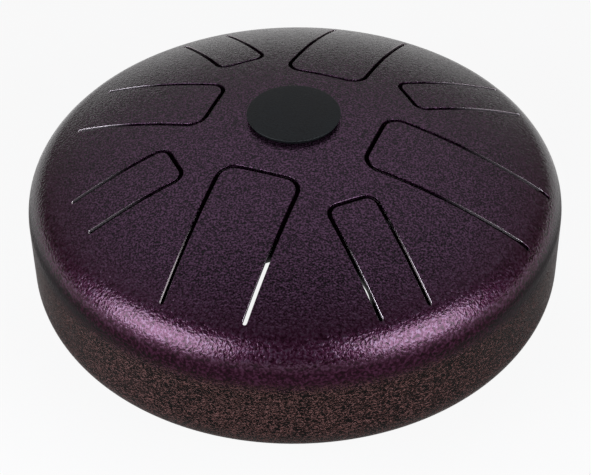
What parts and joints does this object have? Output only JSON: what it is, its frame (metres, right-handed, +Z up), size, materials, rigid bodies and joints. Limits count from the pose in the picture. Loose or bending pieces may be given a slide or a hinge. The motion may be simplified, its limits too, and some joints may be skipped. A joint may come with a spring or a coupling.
{
  "type": "steel tongue drum",
  "caption": "Round steel tongue drum: two domed heads welded at mid height, tuned tongues cut in the top, rubber centre plug, sound port and feet underneath.",
  "frame": {"origin": "floor level, on the drum's centre line", "axes": "+Z up along the drum's centre line; -Y is the side towards the picture's camera"},
  "size_m": [0.3048, 0.3048, 0.1548],
  "materials": {
    "hammered_paint": "hammered metallic powder coat, deep purple, semi-gloss",
    "plug_rubber": "satin moulded rubber, slate black",
    "trim_rubber": "satin extruded rubber, black",
    "foot_rubber": "matt moulded rubber, black",
    "zinc_steel": "bright zinc plated"
  },
  "bodies": {
    "shell": {"upper_shell": "hammered_paint", "lower_shell": "hammered_paint", "girth_weld": "hammered_paint", "centre_plug": "plug_rubber", "port_trim": "trim_rubber", "foot_1": "foot_rubber", "foot_2": "foot_rubber", "foot_3": "foot_rubber", "foot_4": "foot_rubber", "foot_recess_washers": "zinc_steel", "foot_screws": "zinc_steel", "foot_inner_washers": "zinc_steel", "foot_nuts": "zinc_steel"},
    "tongue_1": {"tongue_1": "hammered_paint"},
    "tongue_2": {"tongue_2": "hammered_paint"},
    "tongue_3": {"tongue_3": "hammered_paint"},
    "tongue_4": {"tongue_4": "hammered_paint"},
    "tongue_5": {"tongue_5": "hammered_paint"},
    "tongue_6": {"tongue_6": "hammered_paint"},
    "tongue_7": {"tongue_7": "hammered_paint"},
    "tongue_8": {"tongue_8": "hammered_paint"}
  },
  "joints": [
    {"name": "tongue_1_flex", "type": "hinge", "parent": "shell", "child": "tongue_1", "pos_m": [-0.04791, -0.12482, 0.11914], "axis": [-0.9336, 0.3584, 0], "range_deg": [-0.5, 0.5], "stiffness_Nm_per_rad": 206},
    {"name": "tongue_2_flex", "type": "hinge", "parent": "shell", "child": "tongue_2", "pos_m": [0.05568, -0.12506, 0.11754], "axis": [-0.9135, -0.4067, 0], "range_deg": [-0.5, 0.5], "stiffness_Nm_per_rad": 159},
    {"name": "tongue_3_flex", "type": "hinge", "parent": "shell", "child": "tongue_3", "pos_m": [0.13257, -0.05089, 0.11445], "axis": [-0.3584, -0.9336, 0], "range_deg": [-0.5, 0.5], "stiffness_Nm_per_rad": 188},
    {"name": "tongue_4_flex", "type": "hinge", "parent": "shell", "child": "tongue_4", "pos_m": [0.12598, 0.05609, 0.11704], "axis": [0.4067, -0.9135, 0], "range_deg": [-0.5, 0.5], "stiffness_Nm_per_rad": 157},
    {"name": "tongue_5_flex", "type": "hinge", "parent": "shell", "child": "tongue_5", "pos_m": [0.04745, 0.12361, 0.11977], "axis": [0.9336, -0.3584, 0], "range_deg": [-0.5, 0.5], "stiffness_Nm_per_rad": 210},
    {"name": "tongue_6_flex", "type": "hinge", "parent": "shell", "child": "tongue_6", "pos_m": [-0.05304, 0.11913, 0.12073], "axis": [0.9135, 0.4067, 0], "range_deg": [-0.5, 0.5], "stiffness_Nm_per_rad": 177},
    {"name": "tongue_7_flex", "type": "hinge", "parent": "shell", "child": "tongue_7", "pos_m": [-0.11604, 0.04455, 0.12354], "axis": [0.3584, 0.9336, 0], "range_deg": [-0.5, 0.5], "stiffness_Nm_per_rad": 206},
    {"name": "tongue_8_flex", "type": "hinge", "parent": "shell", "child": "tongue_8", "pos_m": [-0.11565, -0.05149, 0.1225], "axis": [-0.4067, 0.9135, 0], "range_deg": [-0.5, 0.5], "stiffness_Nm_per_rad": 189}
  ]
}
